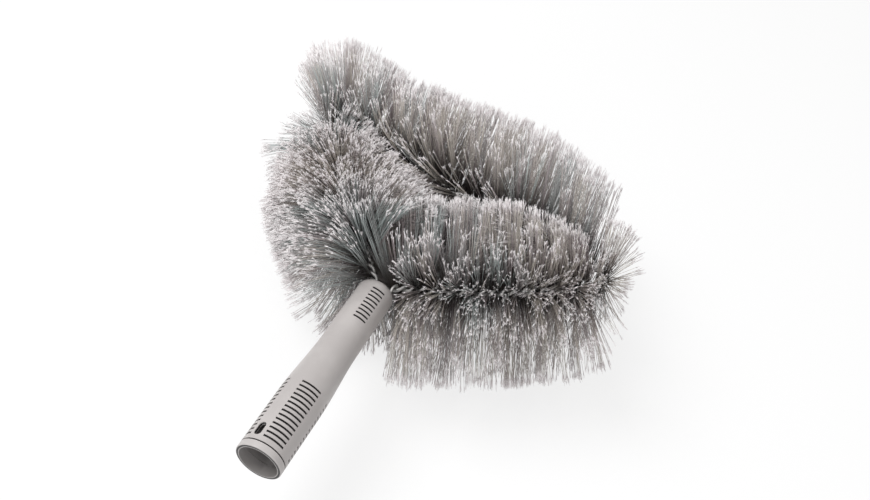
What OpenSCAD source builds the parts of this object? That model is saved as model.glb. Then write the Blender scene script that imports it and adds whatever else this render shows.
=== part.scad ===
// Cobweb brush head.
// A twisted-in-wire brush is bent into a three-sided loop, and both ends of its stem are
// anchored in the nose of a hollow moulded grip that pushes onto a round pole.
// The origin is the centre of the grip's mouth, +X runs along the grip towards the brush,
// +Y is to the left and +Z is square to the plane of the loop. All sizes are in millimetres.

/* [Grip] */
// Length from the mouth to the tip of the nose
grip_len = 151; // [140:1:190]
// Outer diameter of the pole end
grip_d = 30.4; // [30:0.2:36]
// Outer diameter of the nose
nose_d = 25.8; // [25:0.2:29]
// Where the taper between them starts, from the mouth
taper_start = 46; // [30:1:60]
// Where the taper ends, from the mouth
taper_end = 98; // [85:1:110]
// Rounding of the tip of the nose
nose_round = 6; // [2:0.5:7]
// Angle that the grip is turned about its own axis, away from the loop's upper side
grip_turn = 18; // [-90:1:90]

/* [Pole socket] */
// Diameter of the pole that fits the socket
pole_d = 25.4; // [24:0.1:26.4]
// Clearance all round the pole
pole_clearance = 0.2; // [0.1:0.05:0.4]
// Depth of the socket, from the mouth to its shoulder
socket_depth = 66; // [50:1:72]
// Width of the visible ring of the mouth collar
collar_w = 4.5; // [3:0.1:6]
// Length of the collar's spigot inside the grip
spigot_len = 2.6; // [1.5:0.1:3]
// Wall of the spigot
spigot_wall = 1.1; // [0.8:0.1:1.2]
// Width of the seam groove between the collar and the grip
seam_w = 0.9; // [0.3:0.1:1]

/* [Slots] */
// Slots in each of the four rows round the pole end
grip_slots = 14; // [6:1:14]
// Slots in each of the two rows on the nose
nose_slots = 9; // [4:1:9]
// Width of a slot
slot_w = 1.4; // [0.8:0.1:1.6]
// Depth of a slot, which stays short of the bore
slot_depth = 1.4; // [0.5:0.1:1.5]
// Distance from one slot to the next
slot_pitch = 3.35; // [2.6:0.05:3.4]
// Angle that a slot of the pole end covers
grip_slot_arc = 55; // [30:1:70]
// Angle that a slot of the nose covers
nose_slot_arc = 43; // [30:1:70]
// First slot of the pole end, from the mouth
slot_first = 9.4; // [9:0.1:12]
// Last slot of the nose, back from its tip
slot_last = 9.6; // [8:0.1:12]
// Length of the oval hole for the pole's spring button
button_slot_len = 9.4; // [8:0.1:12]
// Width of that hole
button_slot_w = 4.8; // [4:0.1:6]
// Centre of that hole, from the mouth
button_slot_x = 13; // [12:0.1:16]

/* [Stem] */
// Diameter of each of the two wires that are twisted together
wire_d = 2.6; // [2:0.1:2.8]
// Length of one full twist
twist_pitch = 26; // [24:1:36]
// Distance of each end of the stem from the grip's axis
stem_offset = 5.6; // [5.4:0.1:5.8]
// Length of the anchor plug
anchor_len = 24; // [16:1:30]
// Wall of the nose in front of the plug
nose_wall = 7; // [6.5:0.5:9]
// Length of a crimped ferrule
ferrule_len = 12; // [8:1:16]
// Wall of a ferrule
ferrule_wall = 1.2; // [0.8:0.1:1.4]

/* [Loop] */
// Left corner of the loop, forward of the tip of the nose
left_reach = 124; // [100:1:150]
// Left corner, to the left of the grip's axis
left_spread = 113; // [90:1:130]
// Right corner of the loop, forward of the tip of the nose
right_reach = 99; // [80:1:130]
// Right corner, to the right of the grip's axis
right_spread = 143; // [110:1:160]
// Radius of the stem's bend at the left corner
left_bend_r = 9; // [7:0.5:14]
// Radius of the stem's bend at the right corner
right_bend_r = 8; // [7:0.5:14]
// Radius of each bend where the stem leaves the nose
root_bend_r = 9; // [7:0.5:12]
// Distance that the right leg bows outward at its middle
right_bow = 9; // [1:0.5:12]
// Radius of that bow
bow_r = 480; // [300:10:600]
// Distance from the tip of the nose to where the stem's two ends part
root_lead = 6; // [5.5:0.5:12]

/* [Bristles] */
// Length of the bristles, from the middle of the stem
bristle_len = 65; // [45:1:75]
// Share of that length by which the bristles differ
bristle_spread = 0.05; // [0:0.01:0.1]
// Radius of the packed roots that hold the bristles round the stem
root_r = 4.8; // [4.6:0.1:5]
// Thickness of a bristle tuft at its root
tuft_d = 1.7; // [1:0.1:2]
// Thickness of a bristle tuft at its tip
tuft_tip_d = 1.0; // [0.6:0.1:1.6]
// Distance from one row of tufts to the next
tuft_pitch = 14; // [12:0.5:18]
// Gap between bristles that meet inside the loop
inner_gap = 1.5; // [1:0.1:4]
// Angle that the bristles of the left leg lean back towards the nose
left_lean = 12; // [0:1:14]
// Angle that the bristles of the far side lean towards the left corner
far_lean = 10; // [0:1:12]
// Depth by which the lowest tips are cut flat, where the brush lies on them
rest_cut = 0.5; // [0.3:0.1:1]

/* [Hidden] */

fit_gap = 0.1;
face_gap = 0.3;
grip_r = grip_d / 2;
nose_r = nose_d / 2;
socket_r = pole_d / 2 + pole_clearance;
spigot_r = socket_r + spigot_wall;
stem_r = wire_d;
stem_hole_r = stem_r + 0.35;
ferrule_r = stem_r + fit_gap + ferrule_wall;
cavity_r = stem_offset + ferrule_r + face_gap;
anchor_front = grip_len - nose_wall;
anchor_back = anchor_front - anchor_len;
ferrule_back = anchor_back - ferrule_len;
wire_end = ferrule_back + 1;
taper_steps = 10;
round_steps = 8;

// Radius of the grip at a station along it, with an S-shaped taper
function taper_share(x) = min(1, max(0, (x - taper_start) / (taper_end - taper_start)));
function ease(t) = t * t * (3 - 2 * t);
function grip_radius(x) = grip_r - (grip_r - nose_r) * ease(taper_share(x));

// Outline of the grip from the collar's seam to its tip, as station and radius
function grip_outline() = concat(
    [[collar_w + seam_w, 0], [collar_w + seam_w, grip_r]],
    [for (i = [0:taper_steps]) let (x = taper_start + i / taper_steps * (taper_end - taper_start))
        [x, grip_radius(x)]],
    [for (i = [0:round_steps]) let (a = 90 * i / round_steps)
        [grip_len - nose_round * (1 - sin(a)), nose_r - nose_round * (1 - cos(a))]],
    [[grip_len, 0]]
);

// Turns an outline of stations and radii round the X axis
module turned(outline) {
    rotate([0, 90, 0])
        rotate_extrude($fn = 96)
            polygon([for (p = outline) [p[1], p[0]]]);
}

// Cylinder along X from one station to another
module x_bar(from, to, r) {
    translate([from, 0, 0])
        rotate([0, 90, 0])
            cylinder(r = r, h = to - from, $fn = 64);
}

// Curved cutter for one slot, centred on the upper side of the grip
module slot_cutter(x, r, arc) {
    translate([x - slot_w / 2, 0, 0])
        rotate([0, 90, 0])
            rotate([0, 0, 180 - arc / 2])
                rotate_extrude(angle = arc, $fn = 96)
                    translate([r - slot_depth, 0])
                        square([slot_depth + 3, slot_w]);
}

// Oval hole through the wall for the pole's spring button
module button_hole() {
    half = (button_slot_len - button_slot_w) / 2;
    for (x = [-half, half])
        translate([button_slot_x + x, 0, socket_r - 3])
            cylinder(d = button_slot_w, h = grip_r, $fn = 48);
    translate([button_slot_x - half, -button_slot_w / 2, socket_r - 3])
        cube([2 * half, button_slot_w, grip_r]);
}

// The moulded grip, with its socket, its inner cavity and its slots
module grip_shell() {
    color([0.72, 0.70, 0.69])
        rotate([grip_turn, 0, 0])
            difference() {
                turned(grip_outline());
                x_bar(-1, socket_depth, socket_r);
                x_bar(-1, collar_w + seam_w + spigot_len, spigot_r + fit_gap);
                x_bar(socket_depth - 1, anchor_front, cavity_r);
                rotate([-grip_turn, 0, 0])
                    for (side = [-1, 1])
                        translate([0, side * stem_offset, 0])
                            x_bar(anchor_front - 1, grip_len + 1, stem_hole_r);
                for (row = [0:3], i = [0:grip_slots - 1])
                    rotate([90 * row, 0, 0])
                        let (x = slot_first + i * slot_pitch)
                            slot_cutter(x, grip_radius(x), grip_slot_arc);
                for (row = [0:1], i = [0:nose_slots - 1])
                    rotate([180 * row, 0, 0])
                        slot_cutter(grip_len - slot_last - i * slot_pitch, nose_r, nose_slot_arc);
                rotate([-45, 0, 0])
                    button_hole();
            }
}

// Ring at the mouth, with a short spigot that seats inside the grip
module mouth_collar() {
    edge = 0.9;
    color([0.74, 0.72, 0.71])
        difference() {
            turned(concat(
                [[0, 0]],
                [for (a = [90:-15:0]) [edge * (1 - sin(a)), grip_r - edge * (1 - cos(a))]],
                [[collar_w, grip_r], [collar_w, spigot_r],
                 [collar_w + seam_w + spigot_len - face_gap, spigot_r],
                 [collar_w + seam_w + spigot_len - face_gap, 0]]
            ));
            x_bar(-1, socket_depth, socket_r);
        }
}

// Plug behind the nose wall, with a bore for each end of the stem
module wire_anchor() {
    color([0.35, 0.35, 0.36])
        difference() {
            x_bar(anchor_back, anchor_front, cavity_r - fit_gap);
            for (side = [-1, 1])
                translate([0, side * stem_offset, 0])
                    x_bar(anchor_back - 1, anchor_front + 1, stem_hole_r);
        }
}

// Crimped sleeves that stop the stem from pulling out
module stem_ferrules() {
    color([0.62, 0.64, 0.66])
        for (side = [-1, 1])
            translate([0, side * stem_offset, 0])
                difference() {
                    x_bar(ferrule_back, anchor_back, ferrule_r);
                    x_bar(ferrule_back - 1, anchor_back + 1, stem_r + 2 * fit_gap);
                }
}

// Corners of the stem's route, from one end inside the grip round the loop to the other
left_pt = [grip_len + left_reach, left_spread];
right_pt = [grip_len + right_reach, -right_spread];
right_root = [grip_len + root_lead, -stem_offset];
right_way = (right_root - right_pt) / norm(right_root - right_pt);
corners = [
    [wire_end, stem_offset],
    [grip_len + root_lead, stem_offset],
    left_pt,
    right_pt,
    (right_pt + right_root) / 2 + right_bow * [-right_way[1], right_way[0]],
    right_root,
    [wire_end, -stem_offset]
];
bend_radii = [0, root_bend_r, left_bend_r, right_bend_r, bow_r, root_bend_r, 0];
last_side = len(corners) - 2;

function unit(v) = v / norm(v);
function way(i) = unit(corners[i + 1] - corners[i]);
function heading(i) = atan2(way(i)[1], way(i)[0]);
function wrap(a) = a > 180 ? a - 360 : a < -180 ? a + 360 : a;
function turn(i) = i == 0 || i > last_side ? 0 : wrap(heading(i) - heading(i - 1));
function cut(i) = bend_radii[i] * tan(abs(turn(i)) / 2);

// Each piece of the route has a start, a heading there, a length and a turn over that length
function side_piece(i) = [
    corners[i] + way(i) * cut(i),
    heading(i),
    norm(corners[i + 1] - corners[i]) - cut(i) - cut(i + 1),
    0
];
function bend_piece(i) = [
    corners[i] - way(i - 1) * cut(i),
    heading(i - 1),
    bend_radii[i] * abs(turn(i)) * PI / 180,
    turn(i)
];
route = [for (i = [0:last_side], bend = [0, 1]) if (!bend || i < last_side)
    bend ? bend_piece(i + 1) : side_piece(i)];
function length_before(n) = n == 0 ? 0 : length_before(n - 1) + route[n - 1][2];
marks = [for (n = [0:len(route)]) length_before(n)];
route_len = marks[len(route)];

// Place on one piece at a distance t along it, as x, y and heading
function along(piece, t) =
    let (start = piece[0], a = piece[1], b = a + piece[3] * t / piece[2])
    piece[3] == 0
        ? [start[0] + t * cos(a), start[1] + t * sin(a), a]
        : let (r = piece[2] / (piece[3] * PI / 180))
            [start[0] + r * (sin(b) - sin(a)), start[1] - r * (cos(b) - cos(a)), b];
function piece_at(s, n = 0) = n == len(route) - 1 || s < marks[n + 1] ? n : piece_at(s, n + 1);
function place(s) = let (n = piece_at(s)) along(route[n], s - marks[n]);

// Directions at a place: along the stem, to its left, and at an angle round it
function ahead(p) = [cos(p[2]), sin(p[2]), 0];
function leftward(p) = [-sin(p[2]), cos(p[2]), 0];
function around(p, a) = cos(a) * leftward(p) + [0, 0, sin(a)];
function spot(p) = [p[0], p[1], 0];

// Two triangles between corners a, b on one ring and c, d on the next
function quad(a, b, c, d) = [[a, b, d], [a, d, c]];
function ring_sides(first, next, n) = [for (j = [0:n - 1])
    each quad(first + j, first + (j + 1) % n, next + j, next + (j + 1) % n)];

// One wire of the stem: five flats, seven rings to each twist
wire_sides = 5;
rings_per_twist = 7;
module core_wire(phase) {
    rings = ceil(route_len / twist_pitch * rings_per_twist);
    offset_r = wire_d / 2 + fit_gap;
    points = [for (i = [0:rings]) let (
            s = route_len * i / rings,
            p = place(s),
            a = phase + 360 * s / twist_pitch,
            centre = spot(p) + offset_r * around(p, a)
        )
        for (j = [0:wire_sides - 1]) centre + wire_d / 2 * around(p, a + 360 * j / wire_sides)];
    last = rings * wire_sides;
    faces = concat(
        [for (j = [1:wire_sides - 2]) [0, j, j + 1]],
        [for (i = [0:rings - 1]) each ring_sides((i + 1) * wire_sides, i * wire_sides, wire_sides)],
        [for (j = [1:wire_sides - 2]) [last, last + j + 1, last + j]]
    );
    color([0.60, 0.60, 0.58])
        polyhedron(points, faces);
}
module core_wire_a() {
    core_wire(0);
}
module core_wire_b() {
    core_wire(180);
}

// Turn of a piece of the route, or 0 where it is straight or only bowed
function sharp(n) = abs(route[n][3]) > 20 ? route[n][3] : 0;

// Sides of the packed roots, and the turn of each ring of them against the last one
root_sides = 8;
ring_turn = 180 / root_sides;
bore_r = stem_r + 0.7;
root_stations = 2;
corner_stations = 6;

// Stations of a group of bristles, from piece first to piece last of the route
function bands(n) = sharp(n) == 0
    ? max(1, round(route[n][2] / tuft_pitch))
    : abs(sharp(n)) > 90 ? corner_stations : root_stations;
function raw_stations(first, last) = concat(
    [for (n = [first:last], i = [0:bands(n) - 1]) marks[n] + route[n][2] * i / bands(n)],
    [marks[last + 1]]
);
function trimmed(list) = [for (i = [0:len(list) - 1])
    list[i] + (i == 0 ? face_gap / 2 : i == len(list) - 1 ? -face_gap / 2 : 0)];

// Planes between neighbouring sides of the loop, each as a point and a direction across it
fork = [grip_len + root_lead, 0];
function split(at, mine, other) = [at, unit(unit(other - at) - unit(mine - at))];
left_limits = [split(fork, left_pt, right_pt), split(left_pt, fork, right_pt)];
far_limits = [split(left_pt, right_pt, fork), split(right_pt, left_pt, fork)];
right_limits = [split(right_pt, fork, left_pt), split(fork, right_pt, left_pt)];

// Longest bristle from a point before it reaches a limiting plane or the nose
function to_plane(from, dir, plane) =
    let (
        across = dir[0] * plane[1][0] + dir[1] * plane[1][1],
        room = (plane[0] - [from[0], from[1]]) * plane[1] - inner_gap / 2
    )
    across > 0.001 ? room / across : room > 0 ? bristle_len : 0;
function to_nose(from, dir) =
    let (t = dir[0] < -0.001 ? (grip_len + face_gap - from[0]) / dir[0] : -1, hit = from + t * dir)
    t > 0 && norm([hit[1], hit[2]]) < nose_r + tuft_d ? t - tuft_d : bristle_len;
function reach(from, dir, limits) =
    min(concat([to_nose(from, dir)], [for (plane = limits) to_plane(from, dir, plane)]));

// The tips end flat on this level below the stem, which is what the brush lies on
rest_level = -(bristle_len * (1 - bristle_spread / 2.5) - rest_cut);
function on_level(point) = [point[0], point[1], max(rest_level, point[2])];

// Lean of a bristle back along the route, which eases in over the first length from a corner
function lean_at(s, first, last, lean) =
    lean * min(1, (s - marks[first]) / 30, (marks[last + 1] - s) / 30);

// A group of bristles: packed roots bored for the stem, with a tuft on each outer facet
module bristles(first, last, limits, seed, lean = 0) {
    stations = trimmed(raw_stations(first, last));
    n = len(stations) - 1;
    m = root_sides;
    facet_r = root_r * cos(180 / m) + 0.1;
    lengths = rands(1 - bristle_spread, 1, n * m, seed);
    tips_turn = rands(-3, 3, n * m, seed + 1);
    tufts = [for (i = [0:n - 1], j = [0:m - 1]) let (
            s = (stations[i] + stations[i + 1]) / 2,
            p = place(s),
            curve = sharp(piece_at(s)),
            a = 360 * (j + 0.5) / m + ring_turn * (i + 0.5),
            out = around(p, a),
            back = lean_at(s, first, last, lean) + tips_turn[i * m + j],
            dir = unit(out - ahead(p) * tan(curve == 0 ? back : 0)),
            len = min(bristle_len * lengths[i * m + j], reach(spot(p), dir, limits)),
            fans_out = curve == 0 || cos(a) * sign(curve) < 0.05
        )
        [p, a, dir, fans_out && len > root_r + 6 ? len : 0, i, j]];
    kept = [for (t = tufts) if (t[3] > 0) t];
    bare = [for (t = tufts) if (t[3] == 0) t];
    bored = [for (i = [0:n]) if (i == 0 || i == n
        || abs(place(stations[i - 1])[2] - place(stations[i + 1])[2]) > 0.01) i];
    outer_points = [for (i = [0:n]) let (p = place(stations[i]))
        for (j = [0:m - 1]) spot(p) + root_r * around(p, 360 * j / m + ring_turn * i)];
    bore_points = [for (i = bored) let (p = place(stations[i]))
        for (j = [0:m - 1]) spot(p) + bore_r * around(p, 360 * j / m)];
    tuft_points = [for (t = kept) let (
            p = t[0], side = around(p, t[1] + 90), foot = spot(p) + facet_r * around(p, t[1])
        )
        each concat(
            [for (k = [210, 330, 90])
                foot + tuft_d / 2 * (cos(k) * side + sin(k) * ahead(p))],
            [for (k = [210, 330, 90])
                on_level(spot(p) + t[3] * t[2] + tuft_tip_d / 2 * (cos(k) * side + sin(k) * ahead(p)))]
        )];
    bore_from = len(outer_points);
    tufts_from = bore_from + len(bore_points);
    end_shift = round(ring_turn * n / (360 / m));
    function near(j) = j % m;
    function far_end(j) = n * m + (j - end_shift + m * n) % m;
    bore_last = bore_from + (len(bored) - 1) * m;
    faces = concat(
        [for (t = bare) let (a = t[4] * m + t[5], b = t[4] * m + (t[5] + 1) % m)
            each quad(a, b, a + m, b + m)],
        [for (k = [0:len(kept) - 1]) let (
                t = kept[k],
                a = t[4] * m + t[5],
                b = t[4] * m + (t[5] + 1) % m,
                c = b + m,
                d = a + m,
                f = tufts_from + 6 * k
            )
            each concat(
                [[a, b, f], [b, f + 1, f], [b, c, f + 1], [c, f + 2, f + 1],
                 [c, d, f + 2], [d, f, f + 2], [d, a, f]],
                ring_sides(f, f + 3, 3),
                [[f + 3, f + 4, f + 5]]
            )],
        [for (i = [0:len(bored) - 2])
            each ring_sides(bore_from + (i + 1) * m, bore_from + i * m, m)],
        [for (j = [0:m - 1]) each quad(near(j + 1), near(j), bore_from + near(j + 1), bore_from + near(j))],
        [for (j = [0:m - 1]) each quad(far_end(j), far_end(j + 1), bore_last + near(j), bore_last + near(j + 1))]
    );
    color([0.66, 0.65, 0.66])
        polyhedron(
            concat(outer_points, bore_points, tuft_points),
            [for (f = faces) [f[2], f[1], f[0]]]
        );
}
module bristles_left_leg() {
    bristles(1, 2, left_limits, 11, left_lean);
}
module bristles_left_corner() {
    bristles(3, 3, [], 23);
}
module bristles_far_side() {
    bristles(4, 4, far_limits, 37, far_lean);
}
module bristles_right_corner() {
    bristles(5, 5, [], 41);
}
module bristles_right_leg() {
    bristles(6, 9, right_limits, 53);
}

grip_shell();
mouth_collar();
wire_anchor();
stem_ferrules();
core_wire_a();
core_wire_b();
bristles_left_leg();
bristles_left_corner();
bristles_far_side();
bristles_right_corner();
bristles_right_leg();
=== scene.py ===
# %% [markdown]
# # A cobweb brush head
#
# The object is a loop of twisted-in-wire brush in the nose of a hollow plastic grip. Two steel
# wires are twisted together with thousands of grey filaments caught between them, the stem is
# bent into a triangle, and both of its ends disappear into the grip.
#
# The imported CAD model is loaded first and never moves. It gives the grip its exact shape, so the
# grip only needs a better finish. The filaments are a stand-in there, so this script grows the
# real ones along the same stem.

# %% Load the frame
import bpy
import bmesh
import math
import numpy as np
from mathutils import Matrix, Vector


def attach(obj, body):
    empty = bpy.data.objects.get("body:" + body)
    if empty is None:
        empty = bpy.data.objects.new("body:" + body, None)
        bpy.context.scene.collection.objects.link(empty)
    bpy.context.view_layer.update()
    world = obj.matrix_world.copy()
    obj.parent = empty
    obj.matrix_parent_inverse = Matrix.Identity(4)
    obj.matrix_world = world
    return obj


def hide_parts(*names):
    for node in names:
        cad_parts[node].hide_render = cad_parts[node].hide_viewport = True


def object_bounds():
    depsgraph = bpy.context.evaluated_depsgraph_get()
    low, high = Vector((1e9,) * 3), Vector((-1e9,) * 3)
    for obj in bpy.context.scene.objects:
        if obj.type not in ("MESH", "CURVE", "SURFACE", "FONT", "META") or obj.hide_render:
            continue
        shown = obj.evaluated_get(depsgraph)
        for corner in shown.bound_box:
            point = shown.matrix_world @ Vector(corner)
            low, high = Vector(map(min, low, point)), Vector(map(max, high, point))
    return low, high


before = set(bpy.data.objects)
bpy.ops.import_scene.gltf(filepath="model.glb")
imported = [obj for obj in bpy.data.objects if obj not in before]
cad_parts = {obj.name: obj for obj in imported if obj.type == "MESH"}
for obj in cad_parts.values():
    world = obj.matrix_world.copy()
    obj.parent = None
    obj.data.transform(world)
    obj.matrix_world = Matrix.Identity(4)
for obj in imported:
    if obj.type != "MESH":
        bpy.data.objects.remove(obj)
cad_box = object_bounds()

# %% [markdown]
# ## Camera
#
# The photograph looks down at the brush from behind the open end of the grip. A camera is easiest
# to place by its angle round the object, its height and its roll, as a photographer would. The
# lens length follows from the photograph: how fast the grip narrows towards its nose tells how
# near the camera stood.

# %% Camera
PHOTO_WIDTH = 870
LOOK_AT = Vector((0.150, 0.0, 0.0))
HEIGHT_ANGLE, ROUND_ANGLE, ROLL = (math.radians(a) for a in (47.64, -164.02, 12.75))
CAMERA_DISTANCE = 0.700
FOCAL_PIXELS = 1046.9
SHIFT_RIGHT, SHIFT_UP = -0.0382, -0.0275
SENSOR_WIDTH = 36
NEAREST_SEEN, FURTHEST_SEEN = 0.01, 20

away = Vector((
    math.cos(HEIGHT_ANGLE) * math.cos(ROUND_ANGLE),
    math.cos(HEIGHT_ANGLE) * math.sin(ROUND_ANGLE),
    math.sin(HEIGHT_ANGLE),
))
level_right = Vector((0, 0, 1)).cross(away).normalized()
level_up = away.cross(level_right)
right = math.cos(ROLL) * level_right + math.sin(ROLL) * level_up
up = math.cos(ROLL) * level_up - math.sin(ROLL) * level_right

camera_data = bpy.data.cameras.new("photo_camera")
camera_data.sensor_fit = "HORIZONTAL"
camera_data.sensor_width = SENSOR_WIDTH
camera_data.lens = FOCAL_PIXELS * SENSOR_WIDTH / PHOTO_WIDTH
camera_data.clip_start, camera_data.clip_end = NEAREST_SEEN, FURTHEST_SEEN
camera = bpy.data.objects.new("photo_camera", camera_data)
bpy.context.scene.collection.objects.link(camera)
turn = Matrix((right, up, away)).transposed().to_4x4()
camera.matrix_world = Matrix.Translation(
    LOOK_AT - SHIFT_RIGHT * right - SHIFT_UP * up + CAMERA_DISTANCE * away
) @ turn
bpy.context.scene.camera = camera
bpy.context.scene.view_settings.view_transform = "Standard"
print("camera at", tuple(round(v, 3) for v in camera.location))

# %% [markdown]
# ## Where the stem runs
#
# Filaments, wires and CAD model all follow one route: out of the nose, along the left leg, round
# the left corner, along the far side, round the right corner and back along the right leg, which
# bows outward a little, as a bent wire does. It is written once, as straight pieces and arcs, with
# the sizes of the CAD model in millimetres. Every later cell asks it for a place and a direction
# at a distance along the stem.

# %% Route of the stem
# Sizes in millimetres, in the plane of the loop: along the grip, then to its left.
MM = 0.001
GRIP_LEN, NOSE_R = 151.0, 12.9
STEM_OFFSET, STEM_END, ROOT_LEAD = 5.6, 109.0, 6.0
LEFT_CORNER, RIGHT_CORNER = (GRIP_LEN + 124.0, 113.0), (GRIP_LEN + 99.0, -143.0)
RIGHT_ROOT = (GRIP_LEN + ROOT_LEAD, -STEM_OFFSET)
RIGHT_BOW = 9.0
leg = np.subtract(RIGHT_ROOT, RIGHT_CORNER)
outward = np.array((-leg[1], leg[0])) / np.linalg.norm(leg)
corners = np.array([
    (STEM_END, STEM_OFFSET),
    (GRIP_LEN + ROOT_LEAD, STEM_OFFSET),
    LEFT_CORNER,
    RIGHT_CORNER,
    RIGHT_CORNER + leg / 2 + RIGHT_BOW * outward,
    RIGHT_ROOT,
    (STEM_END, -STEM_OFFSET),
])
BEND_RADII = (0.0, 9.0, 9.0, 8.0, 480.0, 9.0, 0.0)


def lay_route():
    """Straight pieces and arcs in turn, each with its start, heading, length and turn."""
    steps = np.diff(corners, axis=0)
    headings = np.arctan2(steps[:, 1], steps[:, 0])
    turns = np.zeros(len(corners))
    turns[1:-1] = (np.diff(headings) + np.pi) % (2 * np.pi) - np.pi
    cuts = np.array(BEND_RADII) * np.tan(np.abs(turns) / 2)
    pieces = []
    for i, heading in enumerate(headings):
        way = np.array((math.cos(heading), math.sin(heading)))
        length = np.linalg.norm(steps[i]) - cuts[i] - cuts[i + 1]
        pieces.append((corners[i] + way * cuts[i], heading, length, 0.0))
        if i + 2 < len(corners):
            bend = turns[i + 1]
            pieces.append((corners[i + 1] - way * cuts[i + 1], heading,
                           BEND_RADII[i + 1] * abs(bend), bend))
    return pieces


route = lay_route()
marks = np.concatenate(([0.0], np.cumsum([piece[2] for piece in route])))


def place(s):
    """Point, direction and piece number at distances s along the stem, in millimetres."""
    s = np.atleast_1d(np.asarray(s, float))
    which = np.clip(np.searchsorted(marks, s, side="right") - 1, 0, len(route) - 1)
    points, headings = np.zeros((len(s), 3)), np.zeros(len(s))
    for number, (start, heading, length, bend) in enumerate(route):
        here = which == number
        t = s[here] - marks[number]
        if bend == 0:
            points[here, :2] = start + np.outer(t, (math.cos(heading), math.sin(heading)))
            headings[here] = heading
        else:
            radius, angle = length / bend, heading + bend * t / length
            points[here, 0] = start[0] + radius * (np.sin(angle) - math.sin(heading))
            points[here, 1] = start[1] - radius * (np.cos(angle) - math.cos(heading))
            headings[here] = angle
    return points, headings, which


print("stem length", round(marks[-1], 1), "mm in", len(route), "pieces")

# %% [markdown]
# ## Two shared effects
#
# Moulded plastic and drawn metal both have a fine grain, and both vary a little in tone from
# place to place. That is one node group, placed in each material with its own scale. The second
# group finds the grooves and the bore of the grip: it compares each point's distance from the axis
# with the radius that the grip's outside has at that station, so the grooves' painted shade
# stays from every side.

# %% Node group helpers
def new_group(name, inputs, outputs):
    """A shader node group with float inputs and outputs given as name and default."""
    group = bpy.data.node_groups.new(name, "ShaderNodeTree")
    for title, default in inputs:
        socket = group.interface.new_socket(title, in_out="INPUT", socket_type="NodeSocketFloat")
        socket.default_value = default
    for title in outputs:
        group.interface.new_socket(title, in_out="OUTPUT", socket_type="NodeSocketFloat")
    return group, group.nodes.new("NodeGroupInput"), group.nodes.new("NodeGroupOutput")


def math_node(tree, operation, a, b=None):
    """A Math node; a and b are sockets or numbers."""
    node = tree.nodes.new("ShaderNodeMath")
    node.operation = operation
    for socket, value in zip(node.inputs, (a, b)):
        if hasattr(value, "is_output"):
            tree.links.new(value, socket)
        elif value is not None:
            socket.default_value = value
    return node.outputs[0]


def map_range(tree, value, low, high, to_low=0.0, to_high=1.0, smooth=True):
    """A Map Range node from low..high to to_low..to_high."""
    node = tree.nodes.new("ShaderNodeMapRange")
    node.interpolation_type = "SMOOTHSTEP" if smooth else "LINEAR"
    tree.links.new(value, node.inputs["Value"])
    for title, number in (("From Min", low), ("From Max", high), ("To Min", to_low),
                          ("To Max", to_high)):
        node.inputs[title].default_value = number
    return node.outputs["Result"]


def noise(tree, vector, scale, detail):
    """A Noise Texture on the given coordinates, whose scale comes from a socket."""
    node = tree.nodes.new("ShaderNodeTexNoise")
    tree.links.new(vector, node.inputs["Vector"])
    tree.links.new(scale, node.inputs["Scale"])
    node.inputs["Detail"].default_value = detail
    node.inputs["Roughness"].default_value = 0.55
    return node.outputs["Fac"]


# %% Grain group
def make_grain_group():
    """Fine grain for a bump, and a slow change of tone from place to place."""
    group, entry, leave = new_group(
        "surface_grain", [("Grain Scale", 2500.0), ("Tone Scale", 40.0)], ["Height", "Tone"]
    )
    coordinates = group.nodes.new("ShaderNodeTexCoord").outputs["Object"]
    fine = noise(group, coordinates, entry.outputs["Grain Scale"], 2.0)
    slow = noise(group, coordinates, entry.outputs["Tone Scale"], 4.0)
    group.links.new(fine, leave.inputs["Height"])
    group.links.new(slow, leave.inputs["Tone"])
    return group


grain_group = make_grain_group()


# %% Groove group
# The grip's outside in metres, and how deep under it a groove's floor and the bore's wall lie.
TAPER_FROM, TAPER_TO, DOME_FROM = 0.046, 0.098, 0.1435
WIDE_R, SLIM_R = 0.0152, 0.0129
GROOVE_FROM, GROOVE_FULL, GROOVE_TO, BORE_FROM, BORE_FULL = 0.00035, 0.0007, 0.0017, 0.0019, 0.0023


def make_groove_group():
    """Masks for the grip's grooves and its bore, and each point's distance from the mouth."""
    group, _, leave = new_group("grip_places", [], ["Groove", "Bore", "Station"])
    coordinates = group.nodes.new("ShaderNodeTexCoord").outputs["Object"]
    split = group.nodes.new("ShaderNodeSeparateXYZ")
    group.links.new(coordinates, split.inputs[0])
    x, y, z = split.outputs
    radius = math_node(group, "SQRT", math_node(
        group, "ADD", math_node(group, "MULTIPLY", y, y), math_node(group, "MULTIPLY", z, z)))
    skin = map_range(group, x, TAPER_FROM, TAPER_TO, WIDE_R, SLIM_R)
    depth = math_node(group, "SUBTRACT", skin, radius)
    below = map_range(group, depth, GROOVE_FROM, GROOVE_FULL)
    not_too_deep = map_range(group, depth, GROOVE_TO, BORE_FROM, 1.0, 0.0)
    off_the_dome = map_range(group, x, DOME_FROM, DOME_FROM + 0.0005, 1.0, 0.0)
    groove = math_node(group, "MULTIPLY", below, not_too_deep)
    group.links.new(math_node(group, "MULTIPLY", groove, off_the_dome), leave.inputs["Groove"])
    group.links.new(map_range(group, depth, BORE_FROM, BORE_FULL), leave.inputs["Bore"])
    group.links.new(x, leave.inputs["Station"])
    return group


groove_group = make_groove_group()


def place_group(tree, group, **values):
    """Places a group in a material and sets its named inputs, written with _ for a space."""
    node = tree.nodes.new("ShaderNodeGroup")
    node.node_tree = group
    for title, value in values.items():
        node.inputs[title.replace("_", " ")].default_value = value
    return node


def new_material(name, roughness=0.5, metallic=0.0):
    """A material with only its Principled BSDF and its output."""
    material = bpy.data.materials.new(name)
    material.use_nodes = True
    tree = material.node_tree
    shader = next(n for n in tree.nodes if n.type == "BSDF_PRINCIPLED")
    shader.inputs["Roughness"].default_value = roughness
    shader.inputs["Metallic"].default_value = metallic
    return material, tree, shader


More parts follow.
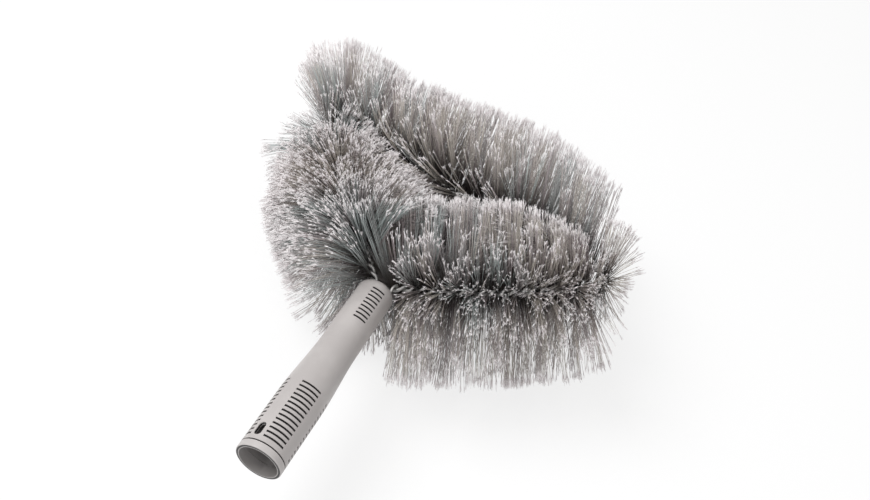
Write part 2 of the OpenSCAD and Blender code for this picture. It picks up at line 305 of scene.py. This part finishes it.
def mix_colours(tree, factor, first, second):
    """A colour mix by a socket; first and second are sockets or colours."""
    node = tree.nodes.new("ShaderNodeMix")
    node.data_type = "RGBA"
    tree.links.new(factor, node.inputs[0])
    for socket, value in ((node.inputs[6], first), (node.inputs[7], second)):
        if hasattr(value, "is_output"):
            tree.links.new(value, socket)
        else:
            socket.default_value = (*value, 1.0)
    return node.outputs[2]


def bump(tree, shader, height, distance):
    """Feeds a height to the shader's normal, at a distance in metres."""
    node = tree.nodes.new("ShaderNodeBump")
    node.inputs["Distance"].default_value = distance
    node.inputs["Strength"].default_value = 1.0
    tree.links.new(height, node.inputs["Height"])
    tree.links.new(node.outputs["Normal"], shader.inputs["Normal"])


# %% [markdown]
# ## Finish of the grip
#
# The grip is satin polypropylene in a light, slightly warm grey. Its grooves are painted almost
# black and its bore a darker grey, both painted shade, and handling leaves faint smudges that show
# in the sheen before they show in the colour. The CAD node has the right shape, so it only gets
# this material.

# %% Plastic materials
# Painted shade in the grooves, near black.
GROOVE_SHADE = (0.012, 0.011, 0.011)
# Painted shade in the bore: its share of the dark grey at the mouth and deep in, and how far in
# from the mouth it is fully dark, in metres.
BORE_SHADE_AT_MOUTH, BORE_SHADE_DEEP, BORE_SHADE_FULL_BY = 0.62, 0.1, 0.045
PLASTIC_GRAIN = 0.00003


def grip_plastic(name, light, dark):
    """Satin moulded plastic with faint smudges, and painted shade: near-black grooves and a dim
    bore.
    """
    material, tree, shader = new_material(name, roughness=0.42)
    grain = place_group(tree, grain_group, Grain_Scale=1800.0, Tone_Scale=35.0)
    places = place_group(tree, groove_group)
    tone = map_range(tree, grain.outputs["Tone"], 0.35, 0.65)
    skin = mix_colours(tree, tone, light, dark)
    # Painted shade: the bore darkens from its mouth inward.
    far_in = map_range(tree, places.outputs["Station"], 0.0, BORE_SHADE_FULL_BY)
    bore = mix_colours(
        tree, far_in, tuple(BORE_SHADE_AT_MOUTH * c for c in dark), tuple(BORE_SHADE_DEEP * c for c in dark))
    with_bore_shade = mix_colours(tree, places.outputs["Bore"], skin, bore)
    # Painted shade: the grooves go near black.
    with_groove_shade = mix_colours(tree, places.outputs["Groove"], with_bore_shade, GROOVE_SHADE)
    tree.links.new(with_groove_shade, shader.inputs["Base Color"])
    tree.links.new(map_range(tree, grain.outputs["Tone"], 0.3, 0.7, 0.36, 0.48),
                   shader.inputs["Roughness"])
    bump(tree, shader, grain.outputs["Height"], PLASTIC_GRAIN)
    return material


def hidden_plastic(name, light, dark):
    """Dark moulded plastic inside the nose."""
    material, tree, shader = new_material(name, roughness=0.55)
    grain = place_group(tree, grain_group, Grain_Scale=1500.0, Tone_Scale=60.0)
    tree.links.new(mix_colours(tree, grain.outputs["Tone"], light, dark),
                   shader.inputs["Base Color"])
    bump(tree, shader, grain.outputs["Height"], PLASTIC_GRAIN)
    return material


METAL_GRAIN = 0.00002


def drawn_metal(name, light, dark, roughness):
    """Dull drawn metal, with slow changes of tone from its coating."""
    material, tree, shader = new_material(name, roughness, metallic=1.0)
    grain = place_group(tree, grain_group, Grain_Scale=3000.0, Tone_Scale=250.0)
    tree.links.new(mix_colours(tree, grain.outputs["Tone"], light, dark),
                   shader.inputs["Base Color"])
    tree.links.new(map_range(tree, grain.outputs["Tone"], 0.3, 0.7, roughness - 0.08,
                             roughness + 0.12), shader.inputs["Roughness"])
    bump(tree, shader, grain.outputs["Height"], METAL_GRAIN)
    return material


finishes = {
    "grip_shell": grip_plastic("grip_grey", (0.43, 0.405, 0.395), (0.385, 0.36, 0.352)),
    "mouth_collar": grip_plastic("collar_grey", (0.45, 0.425, 0.415), (0.41, 0.385, 0.377)),
    "wire_anchor": hidden_plastic("anchor_grey", (0.045, 0.045, 0.047), (0.03, 0.03, 0.032)),
    "stem_ferrules": drawn_metal("ferrule_aluminium", (0.72, 0.72, 0.73), (0.6, 0.6, 0.61), 0.4),
}
for node_name, material in finishes.items():
    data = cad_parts[node_name].data
    data.materials.clear()
    data.materials.append(material)
    print(node_name, "is finished in", material.name)

# %% [markdown]
# ## Twisted wires
#
# The stem is two soft steel wires twisted round each other. A helix is no more than a point that
# goes round the route as it goes along it, so each wire is a curve through such points with a
# round bevel. It becomes a mesh at the end, because the finished piece has to be one. In the
# photograph the wires show as slanting bars along the dark core, 7 mm apart, and the way the bars
# slant says that the twist is left-handed, so the angle falls as the wire runs forward.

# %% Wires
WIRE_D, TWIST_PITCH, WIRE_GAP = 2.6, 14.0, 0.2
POINTS_PER_TURN = 16
wire_steel = drawn_metal("wire_steel", (0.44, 0.43, 0.42), (0.32, 0.31, 0.30), 0.5)


def twist(s):
    """Angle of the first wire round the route, at distances s along it."""
    return -2 * np.pi * s / TWIST_PITCH


def around(headings, angle):
    """Directions square to the stem, at an angle from its left side towards +Z."""
    return np.stack((-np.sin(headings) * np.cos(angle), np.cos(headings) * np.cos(angle),
                     np.sin(angle)), axis=1)


def curve_to_piece(curve, name, material, smooth=True):
    """Turns a bevelled curve into a mesh object with one material."""
    holder = bpy.data.objects.new(name + "_curve", curve)
    bpy.context.scene.collection.objects.link(holder)
    bpy.context.view_layer.update()
    evaluated = holder.evaluated_get(bpy.context.evaluated_depsgraph_get())
    mesh = bpy.data.meshes.new_from_object(evaluated)
    mesh.name = name
    bpy.data.objects.remove(holder)
    bpy.data.curves.remove(curve)
    mesh.materials.clear()
    mesh.materials.append(material)
    if smooth:
        mesh.shade_smooth()
    piece = bpy.data.objects.new(name, mesh)
    bpy.context.scene.collection.objects.link(piece)
    return piece


def make_wire(name, phase):
    """One wire of the stem, as a smooth helix along the whole route."""
    s = np.linspace(0, marks[-1], int(marks[-1] / TWIST_PITCH * POINTS_PER_TURN))
    points, headings, _ = place(s)
    points = points + (WIRE_D + WIRE_GAP) / 2 * around(headings, phase + twist(s))
    curve = bpy.data.curves.new(name, "CURVE")
    curve.dimensions = "3D"
    curve.bevel_depth = WIRE_D / 2 * MM
    curve.bevel_resolution = 2
    curve.use_fill_caps = True
    spline = curve.splines.new("POLY")
    spline.points.add(len(points) - 1)
    spline.points.foreach_set("co", np.c_[points * MM, np.ones(len(points))].ravel())
    return curve_to_piece(curve, name, wire_steel)


for name, node_name, phase in (("stem_wire_a", "core_wire_a", 0.0),
                               ("stem_wire_b", "core_wire_b", math.pi)):
    wire = make_wire(name, phase)
    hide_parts(node_name)
    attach(wire, "root")
    print(name, len(wire.data.polygons), "faces")

# %% [markdown]
# ## Filaments
#
# A filament is a thin strand that leaves the stem nearly square to it, bends a little, and ends
# in a flagged tip: its last few millimetres are split into finer, paler hairs. Hair systems don't
# survive an export, and a hand-made mesh of every strand is needless work. So all strands of a
# group are splines of one curve, whose bevel is a small triangle, and the curve becomes a mesh.
#
# Strands come in tufts, because the twisted wires grip them in bunches. Each tuft stands in one
# of the two grooves between the wires, which turn round the stem as it goes along, and its strands
# fan out a few degrees from there. Neighbouring tufts gather and part in slow waves, which leaves
# the dark furrows that the photograph shows.

# %% Sizes of the filaments
# Lengths, radii and the height that no strand goes below, in millimetres.
BRISTLE_LEN, LOWEST = 65.0, -61.5
ROOT_R = 1.0
STRAND_R, TIP_R = 0.16, 0.13
FLAG_ROOT_R, FLAG_TIP_R = 0.08, 0.12
# Points along a strand, split hairs at its tip, strands for each millimetre, strands in a tuft.
STRAND_POINTS, FLAGS, DENSITY, TUFT_STRANDS = 3, 4, 80.0, 5
# How far tufts stray round their groove, and how far strands stray in a tuft, in radians, and how
# far strands stray along the stem, in millimetres.
TUFT_FAN, SPREAD, ALONG_SPREAD = 0.42, 0.035, 0.5
# Slopes by which tufts lean at random and gather in waves.
TUFT_LEAN, GATHER = 0.06, 0.03
# Largest shares by which tufts, and strands in a tuft, come out short.
TUFT_UNEVEN, STRAND_UNEVEN = 0.07, 0.03
TONE_MIDDLE, TONE_DRIFT, TONE_SPREAD = 0.45, 0.12, 0.11
rng = np.random.default_rng(3256)


def triangle_section():
    """A small triangle for the bevel of every strand, one unit across."""
    curve = bpy.data.curves.new("strand_section", "CURVE")
    spline = curve.splines.new("POLY")
    spline.points.add(2)
    for point, angle in zip(spline.points, (330, 210, 90)):
        a = math.radians(angle)
        point.co = (math.cos(a), math.sin(a), 0, 1)
    spline.use_cyclic_u = True
    section = bpy.data.objects.new("strand_section", curve)
    bpy.context.scene.collection.objects.link(section)
    return section


section = triangle_section()


# %% Tufts of one group
def plant(first, last, share, few, tint, tuft_size):
    """Place, direction, length, lean and tone of each tuft, repeated for every strand in it."""
    tufts = max(1, int((last - first) * DENSITY * share / tuft_size))
    s = rng.uniform(first, last, tufts)
    groove = np.pi * (rng.integers(0, 2, tufts) + 0.5)
    angle = twist(s) + groove + rng.normal(0, TUFT_FAN, tufts)
    present = rng.random(tufts) > few(s, np.degrees(angle))
    s, angle = s[present], angle[present]
    tufts = len(s)
    tuft_length = 1 - TUFT_UNEVEN * rng.random(tufts) ** 2
    tuft_lean = rng.normal(0, TUFT_LEAN, tufts)
    drift = np.sin(s / 11 + 2 * angle) + np.sin(s / 5 - 3 * angle + 1) + np.sin(s / 23 + angle)
    tone = TONE_MIDDLE + TONE_DRIFT * drift + rng.normal(0, TONE_SPREAD, tufts)
    tone = np.clip(tone + tint(s, np.degrees(angle)), 0, 1)
    return [np.repeat(v, tuft_size) for v in (s, angle, tuft_length, tuft_lean, tone)]


# %% Strands of one group
# On a bend sharper than this, in radians, only strands that point to its outside have room.
SHARP_BEND, OUTSIDE = 1, 0.15
bends = np.array([bend for _, _, _, bend in route])


def grow(first, last, share, habit, tuft_size):
    """Root, direction, length and tone of each strand between two places along the stem.

    habit holds four functions of the distance along the stem and of the direction round it:
    lean, length, few, which is the share of tufts that is missing, and tint.
    """
    lean, length, few, tint = habit
    s, angle, tuft_length, tuft_lean, tone = plant(first, last, share, few, tint, tuft_size)
    count = len(s)
    s = np.clip(s + rng.normal(0, ALONG_SPREAD, count), first, last)
    angle = angle + rng.normal(0, SPREAD, count)
    points, headings, which = place(s)
    out = around(headings, angle)
    ahead = np.stack((np.cos(headings), np.sin(headings), np.zeros(count)), axis=1)
    degrees = np.degrees(angle)
    gather = np.sin(s / 3 + 5 * angle) + np.sin(s / 2 - 7 * angle + 2)
    slope = lean(s, degrees) + tuft_lean + GATHER * gather + rng.normal(0, SPREAD, count)
    direction = out + slope[:, None] * ahead
    direction /= np.linalg.norm(direction, axis=1)[:, None]
    strand_length = BRISTLE_LEN * tuft_length * (1 - STRAND_UNEVEN * rng.random(count) ** 2)
    strand_length *= length(s, degrees)
    bend = bends[which]
    sharp = np.abs(bend) > SHARP_BEND
    keep = ~sharp | (np.cos(angle) * np.sign(bend) < OUTSIDE)
    return {"root": (points + ROOT_R * out)[keep], "direction": direction[keep],
            "length": strand_length[keep] - ROOT_R, "tone": tone[keep]}


def bend_strands(group, sway):
    """Points along each strand, which bends a little to one side, and flattens on the floor."""
    count = len(group["tone"])
    side = np.cross(group["direction"], rng.normal(0, 1, (count, 3)))
    side /= np.linalg.norm(side, axis=1)[:, None]
    t = np.linspace(0, 1, STRAND_POINTS)[None, :, None]
    reach = group["direction"] * group["length"][:, None]
    straight = group["root"][:, None, :] + t * reach[:, None, :]
    sideways = rng.normal(0, sway, count)[:, None, None] * t ** 2 * side[:, None, :]
    paths = straight + sideways
    paths[:, :, 2] = np.maximum(paths[:, :, 2], LOWEST)
    return paths


# %% [markdown]
# Strands can't pass through the grip or through the stem on the other side of the loop, so any
# strand that would is left out. The test is plain distance: points along the strand against the
# nose's cylinder and against the stem itself.

# %% Strands that would hit something
# Shares of a strand's length that are tested, and from which one its own stem is far enough away.
TESTED_SHARES, STEM_TESTED_FROM = (0.25, 0.45, 0.6, 0.75, 0.9, 1.0), 0.6
NOSE_END_GAP, NOSE_SIDE_GAP, STEM_GAP, STEM_STEP = 0.5, 0.8, 4.0, 3.0
stem_points = place(np.arange(marks[1], marks[-2], STEM_STEP))[0]


def clear_strands(paths):
    """True for strands that pass the nose and the other sides of the stem."""
    ok = np.ones(len(paths), bool)
    for share in TESTED_SHARES:
        at = share * (STRAND_POINTS - 1)
        low = min(int(at), STRAND_POINTS - 2)
        point = paths[:, low] + (at - low) * (paths[:, low + 1] - paths[:, low])
        behind_tip = point[:, 0] < GRIP_LEN + NOSE_END_GAP
        in_nose = np.hypot(point[:, 1], point[:, 2]) < NOSE_R + NOSE_SIDE_GAP
        ok &= ~(behind_tip & in_nose)
        if share >= STEM_TESTED_FROM:
            nearest = np.full(len(paths), np.inf)
            for stem_point in stem_points:
                nearest = np.minimum(nearest, ((point - stem_point) ** 2).sum(1))
            ok &= nearest > STEM_GAP ** 2
    return ok


# %% From strands to a mesh
# The share of a strand that keeps its full thickness. How far before the tip its hairs split off,
# how far past or short of it they end, and how far they swing aside, in millimetres. What reach
# says at a hair's root and at its end, where 1 is the strand's tip.
THICK_TO, SPLIT_BEFORE, END_STRAY, SWING = 0.7, (3, 6), 1.5, 0.45
FLAG_REACH = (0.93, 1.06)
WELD_DISTANCE = 1e-7


def strand_piece(name, paths, tone, material):
    """One mesh of bevelled strands with flagged tips, and its tone and reach attributes."""
    curve = bpy.data.curves.new(name, "CURVE")
    curve.dimensions = "3D"
    curve.bevel_mode = "OBJECT"
    curve.bevel_object = section
    curve.use_fill_caps = True
    reach, tones, ends = [], [], []
    strand_reach = np.linspace(0, 1, STRAND_POINTS)
    strand_radii = np.interp(strand_reach, (0, THICK_TO, 1), (STRAND_R, STRAND_R, TIP_R))
    flag_radii, flag_reach = np.array((FLAG_ROOT_R, FLAG_TIP_R)), np.array(FLAG_REACH)

    def add(points, radii, reaches, strand_tone):
        spline = curve.splines.new("POLY")
        spline.points.add(len(points) - 1)
        spline.points.foreach_set("co", np.c_[points * MM, np.ones(len(points))].ravel())
        spline.points.foreach_set("radius", radii * MM)
        reach.extend(np.repeat(reaches, 3))
        tones.extend([strand_tone] * (3 * len(points)))
        ends.append((reaches[0], reaches[-1], strand_tone))

    for path, strand_tone in zip(paths, tone):
        add(path, strand_radii, strand_reach, strand_tone)
        end, back = path[-1], path[-1] - path[-2]
        back = back / np.linalg.norm(back)
        for _ in range(FLAGS):
            split = end - back * rng.uniform(*SPLIT_BEFORE)
            swing = rng.normal(0, SWING, 3)
            hair = np.array((split, end + back * rng.uniform(-END_STRAY, END_STRAY) + swing))
            add(hair, flag_radii, flag_reach, strand_tone)
    piece = curve_to_piece(curve, name, material, smooth=False)
    mesh = piece.data
    # The caps come first in the mesh, last strand first, each with its tip before its root.
    ends = np.array(ends)[::-1]
    cap_reach = np.repeat(ends[:, [1, 0]].ravel(), 3)
    cap_tone = np.repeat(ends[:, 2], 6)
    for title, caps, tubes in (("reach", cap_reach, reach), ("tone", cap_tone, tones)):
        values = np.concatenate((caps, tubes)).astype(np.float32)
        layer = mesh.attributes.new(title, "FLOAT", "POINT")
        layer.data.foreach_set("value", values)
    weld = bmesh.new()
    weld.from_mesh(mesh)
    bmesh.ops.remove_doubles(weld, verts=weld.verts, dist=WELD_DISTANCE)
    weld.to_mesh(mesh)
    weld.free()
    return piece


# %% [markdown]
# ## Colour of the filaments
#
# Grey filaments get painted shade near the stem, where they stand close together, and take on a
# cool or a brownish cast from tuft to tuft. Their flagged tips are paler: partly their own colour,
# as split ends scatter light, and partly a painted highlight. The material reads two attributes
# that the strands carry: how far along the strand a point is, and a number for its tuft.

# %% Filament material
def ramp(tree, value, stops):
    """A colour ramp through (position, colour) stops."""
    node = tree.nodes.new("ShaderNodeValToRGB")
    elements = node.color_ramp.elements
    while len(elements) < len(stops):
        elements.new(0.5)
    for element, (position, colour) in zip(elements, stops):
        element.position = position
        element.color = (*colour, 1.0)
    tree.links.new(value, node.inputs[0])
    return node.outputs[0]


def attribute(tree, name):
    """A float attribute of the mesh."""
    node = tree.nodes.new("ShaderNodeAttribute")
    node.attribute_name = name
    return node.outputs["Fac"]


# Colours by the tone of a tuft: cool grey, light cool grey, brownish, light warm grey, dark brown.
# On the hanging strands the light warm grey is painted light passing through them.
SHAFT_TONES = (
    (0.0, (0.32, 0.37, 0.365)), (0.25, (0.41, 0.44, 0.43)), (0.45, (0.32, 0.272, 0.278)),
    (0.7, (0.57, 0.53, 0.475)), (1.0, (0.23, 0.19, 0.192)),
)
# Tip colours: partly the flagged ends' own paler colour, partly a painted highlight.
TIP_TONES = (
    (0.0, (0.90, 0.88, 0.88)), (0.5, (0.78, 0.73, 0.735)), (0.75, (0.80, 0.75, 0.755)),
    (1.0, (0.62, 0.57, 0.57)),
)
# Painted shade at the root, where the strands stand close together.
ROOT_SHADE, SPLIT_WHITE_AND_HIGHLIGHT = (0.07, 0.058, 0.052), (0.92, 0.90, 0.90)


def filament_material():
    """Grey synthetic filament, from a root in painted shade to a pale flagged tip that is partly
    painted highlight.
    """
    material, tree, shader = new_material("filament_grey", roughness=0.45)
    reach, tone = attribute(tree, "reach"), attribute(tree, "tone")
    # Painted shade near the root, where the strands stand close together.
    near_root = map_range(tree, reach, 0.02, 0.55)
    shade = mix_colours(tree, near_root, ROOT_SHADE, ramp(tree, tone, SHAFT_TONES))
    # Towards the tip the pale is partly the flags' own colour and partly painted highlight.
    near_tip = map_range(tree, reach, 0.86, 0.98)
    split_end = map_range(tree, reach, 0.99, 1.05, 0.0, 0.75)
    pale = mix_colours(tree, split_end, ramp(tree, tone, TIP_TONES), SPLIT_WHITE_AND_HIGHLIGHT)
    tree.links.new(mix_colours(tree, near_tip, shade, pale), shader.inputs["Base Color"])
    tree.links.new(map_range(tree, reach, 0.7, 1.0, 0.38, 0.75), shader.inputs["Roughness"])
    return material


filament_grey = filament_material()

# %% [markdown]
# ## Growing the five groups
#
# Each group stands where the CAD node of the same side does and replaces it. A long group is
# made as several meshes, so none of them gets too heavy. The lean is how far the strands point
# along the stem instead of square to it: on the left leg they lean back to the nose, and on the
# far side they lean towards the left corner, as the photograph shows.

# %% Habits of the five groups
# Directions round the stem in degrees: outward, into the loop, and then, for each side of the
# loop, towards the photograph's camera or its right, upper or lower edge.
LEFT_SIDE, INWARD = 0, 180
LEFT_FACING, LEFT_RIGHT, FAR_FACING, FAR_UP = 68, 145, 130, 40
RIGHT_FACING, RIGHT_UP, RIGHT_DOWN = 49, 139, -41


def near(degrees, middle, width):
    """1 at one direction round the stem, falling to 0 on both sides of it."""
    return np.exp(-(((degrees - middle + 180) % 360 - 180) / width) ** 2)


def along(s, first, last, places, values):
    """Values by how far s is, from 0 to 1, along the pieces of the route from first to last."""
    return np.interp((s - marks[first]) / (marks[last + 1] - marks[first]), places, values)


def steady(value):
    """A habit that is the same in every place and direction."""
    return lambda s, degrees: np.full(len(s), value)


# %% Habit on the left leg
left_lean = steady(-0.25)


def left_length(s, degrees):
    """Shorter on the outside, most of all towards the corner, and inside the corner too."""
    outside = near(degrees, LEFT_SIDE, 60) * along(
        s, 1, 2, (0, 0.45, 0.62, 0.75, 0.87, 1), (0.06, 0.0, 0.0, 0.08, 0.26, 0.3))
    inside = near(degrees, LEFT_RIGHT, 50) * along(s, 1, 2, (0.4, 0.75, 1), (0, 0.3, 0.42))
    return 1 - outside - inside


def left_few(s, degrees):
    """Fewer inside the loop and at the nose, and a hollow towards the viewer by the corner."""
    facing = along(s, 1, 2, (0.08, 0.25), (0.85, 0)) * near(degrees, LEFT_FACING, 60)
    across = along(s, 1, 2, (0.22, 0.45), (1, 0)) * near(degrees, INWARD - 35, 50)
    below = along(s, 1, 2, (0.3, 0.6), (0.8, 0)) * near(degrees, LEFT_SIDE - 30, 60)
    hollow = along(s, 1, 2, (0.8, 0.9), (0, 0.75)) * near(degrees, LEFT_FACING, 45)
    corner = along(s, 1, 2, (0.45, 0.75), (0, 0.6)) * near(degrees, LEFT_RIGHT, 40)
    return 0.35 * near(degrees, INWARD, 45) + facing + across + below + hollow + corner


def left_tint(s, degrees):
    """Cooler at the nose and where the corner begins."""
    return near(degrees, LEFT_FACING, 70) * along(
        s, 1, 2, (0, 0.2, 0.4, 0.75, 0.95), (-0.25, -0.1, 0.1, 0.1, -0.3))


# %% Habit round the left corner
def left_corner_length(s, degrees):
    """Worn short on the outside of the first part, full length where the far side begins."""
    cut = along(s, 3, 3, (0, 0.45, 0.6, 0.72), (0.28, 0.48, 0.42, 0.0))
    return 1.12 - cut * near(degrees, LEFT_SIDE, 55)


def left_corner_few(s, degrees):
    """Sparse round the first part, and further on towards the viewer."""
    first_part = along(s, 3, 3, (0.55, 0.68), (1, 0))
    return first_part * (0.72 + 0.25 * near(degrees, LEFT_FACING - 30, 60)) + (1 - first_part) * (
        0.75 * near(degrees, FAR_FACING - 10, 45))


def left_corner_tint(s, degrees):
    """Cooler in the first part."""
    return along(s, 3, 3, (0.4, 0.7), (-0.25, 0))


# %% Habit on the far side
far_lean, far_tint = steady(-0.2), steady(0.12)


def far_length(s, degrees):
    """A little uneven along the upper edge."""
    return 1 + near(degrees, FAR_UP, 60) * along(
        s, 4, 4, (0, 0.15, 0.3, 0.5, 0.7, 0.87, 1), (0.06, -0.02, 0.02, 0.09, 0.17, 0.04, -0.06))


def far_few(s, degrees):
    """Few inside the loop and towards the viewer, and fewer at the right end."""
    return 0.3 * near(degrees, INWARD + 10, 50) + 0.8 * near(degrees, FAR_FACING - 20, 50) + along(
        s, 4, 4, (0.7, 0.95), (0, 0.35))


# %% Habit round the right corner and on the right leg
def right_corner_length(s, degrees):
    """Full above and below, and worn to a stubble on the outside."""
    return 0.88 - 0.62 * near(degrees, LEFT_SIDE, 72)


def right_corner_few(s, degrees):
    """Sparse on the outside."""
    return 0.85 * near(degrees, LEFT_SIDE, 75)


def right_lean(s, degrees):
    """Square to the stem, but towards the nose where the strands face up and outward."""
    return 0.28 * near(degrees, RIGHT_FACING, 55)


def right_length(s, degrees):
    """Shorter towards the right corner, above and below the stem."""
    above = along(s, 6, 9, (0, 0.1, 0.2, 0.33, 0.45), (0.52, 0.38, 0.2, 0.06, 0.0))
    below = along(s, 6, 9, (0, 0.15, 0.35), (0.1, 0.0, -0.03))
    return 1 - above * near(degrees, RIGHT_UP, 55) - below * near(degrees, RIGHT_DOWN, 60)


def right_few(s, degrees):
    """Fewer towards the viewer, inside the loop and hanging, and hardly any at the nose."""
    by_nose = along(s, 6, 9, (0.88, 0.95), (0, 0.7))
    return (0.3 * near(degrees, RIGHT_FACING, 35) + 0.9 * near(degrees, RIGHT_FACING + 60, 30)
            + 0.6 * near(degrees, INWARD + 25, 35) + 0.72 * near(degrees, RIGHT_DOWN, 60)
            + 0.35 * near(degrees, LEFT_SIDE, 25) + by_nose * near(degrees, RIGHT_FACING - 10, 60))


def right_tint(s, degrees):
    """Cool above the stem by the nose, dark and brown by the corner, and pale where they hang, as
    painted light passing through them.
    """
    above = along(s, 6, 9, (0, 0.3, 0.5, 0.75, 1), (0.45, 0.35, 0.1, -0.2, -0.3))
    # The pale warm tone on hanging strands is painted light passing through them.
    return above * near(degrees, RIGHT_UP - 10, 60) + 0.25 * near(degrees, RIGHT_DOWN, 60)


# %% Grow the filaments
left_habit = (left_lean, left_length, left_few, left_tint)
left_corner_habit = (left_lean, left_corner_length, left_corner_few, left_corner_tint)
far_habit = (far_lean, far_length, far_few, far_tint)
right_corner_habit = (far_lean, right_corner_length, right_corner_few, steady(0.25))
right_habit = (right_lean, right_length, right_few, right_tint)
SWAY, CORNER_SWAY, CORNER_TUFT, END_GAP = 1.6, 3.0, 3, 0.2
# First and last piece of the route, meshes, share of the full density, habit, strands in a tuft
# and how far the strands sway.
groups = {
    "bristles_left_leg": (1, 2, 3, 1.0, left_habit, TUFT_STRANDS, SWAY),
    "bristles_left_corner": (3, 3, 1, 2.6, left_corner_habit, TUFT_STRANDS, SWAY),
    "bristles_far_side": (4, 4, 4, 0.75, far_habit, TUFT_STRANDS, SWAY),
    "bristles_right_corner": (5, 5, 1, 0.5, right_corner_habit, CORNER_TUFT, CORNER_SWAY),
    "bristles_right_leg": (6, 9, 2, 1.0, right_habit, TUFT_STRANDS, SWAY),
}
total = 0
for node_name, (first, last, meshes, share, habit, tuft_size, sway) in groups.items():
    edges = np.linspace(marks[first] + END_GAP, marks[last + 1] - END_GAP, meshes + 1)
    for number in range(meshes):
        strands = grow(edges[number], edges[number + 1], share, habit, tuft_size)
        paths = bend_strands(strands, sway)
        ok = clear_strands(paths)
        name = node_name.replace("bristles", "filaments") + (
            f"_{number + 1}" if meshes > 1 else "")
        piece = strand_piece(name, paths[ok], strands["tone"][ok], filament_grey)
        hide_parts(node_name)
        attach(piece, "root")
        faces = sum(len(p.vertices) - 2 for p in piece.data.polygons)
        total += faces
        print(name, int(ok.sum()), "strands,", faces, "triangles")
bpy.data.objects.remove(section)
print("filament triangles", total)

# %% [markdown]
# ## Floor, world and lamps
#
# The photograph has a white ground and soft light from all round. The floor lies under the lowest
# filament. Three quarters of its white is a glow that only the camera and reflections see, and the
# rest is lit and keeps the soft shadow. The lamps are large, so the filaments get no hard shadows.

# %% Floor
FLOOR_SIZE, FLOOR_GAP, FLOOR_WHITE, GLOW_SHARE = 8, 0.002, 0.86, 0.75
bpy.ops.mesh.primitive_plane_add(
    size=FLOOR_SIZE, location=(LOOK_AT.x, 0, cad_box[0][2] - FLOOR_GAP))
floor = bpy.context.object
floor.name = "floor"
floor_material = bpy.data.materials.new("white_floor")
floor_material.use_nodes = True
tree = floor_material.node_tree
tree.nodes.clear()
matte = tree.nodes.new("ShaderNodeBsdfDiffuse")
matte.inputs["Color"].default_value = (FLOOR_WHITE, FLOOR_WHITE, FLOOR_WHITE, 1)
glow = tree.nodes.new("ShaderNodeEmission")
glow.inputs["Color"].default_value = (1, 1, 1, 1)
glow.inputs["Strength"].default_value = 1.0
light_path = tree.nodes.new("ShaderNodeLightPath")
seen = math_node(tree, "MAXIMUM", light_path.outputs["Is Camera Ray"],
                 light_path.outputs["Is Glossy Ray"])
mixed = tree.nodes.new("ShaderNodeMixShader")
tree.links.new(math_node(tree, "MULTIPLY", seen, GLOW_SHARE), mixed.inputs[0])
tree.links.new(matte.outputs[0], mixed.inputs[1])
tree.links.new(glow.outputs[0], mixed.inputs[2])
output = tree.nodes.new("ShaderNodeOutputMaterial")
tree.links.new(mixed.outputs[0], output.inputs["Surface"])
floor.data.materials.append(floor_material)

# %% World and lamps
WORLD_LIGHT, WORLD_SEEN = 0.5, 1.0
world = bpy.context.scene.world or bpy.data.worlds.new("studio")
bpy.context.scene.world = world
world.use_nodes = True
background = next(n for n in world.node_tree.nodes if n.type == "BACKGROUND")
background.inputs["Color"].default_value = (1, 1, 1, 1)
tree = world.node_tree
light_path = tree.nodes.new("ShaderNodeLightPath")
seen = math_node(tree, "MAXIMUM", light_path.outputs["Is Camera Ray"],
                 light_path.outputs["Is Glossy Ray"])
tree.links.new(map_range(tree, seen, 0.0, 1.0, WORLD_LIGHT, WORLD_SEEN, smooth=False),
               background.inputs["Strength"])
LAMPS_AIM = Vector((0.2, 0, 0))


def soft_lamp(name, place_at, size, watts):
    """A square area lamp that points at the middle of the brush, in metres and watts."""
    data = bpy.data.lights.new(name, "AREA")
    data.size = size
    data.energy = watts
    lamp = bpy.data.objects.new(name, data)
    lamp.location = place_at
    lamp.rotation_euler = (LAMPS_AIM - Vector(place_at)).to_track_quat("-Z", "Y").to_euler()
    bpy.context.scene.collection.objects.link(lamp)


soft_lamp("key", (0.0, 0.9, 1.5), 1.0, 27)
soft_lamp("fill", (-0.9, -0.9, 0.9), 1.4, 8)
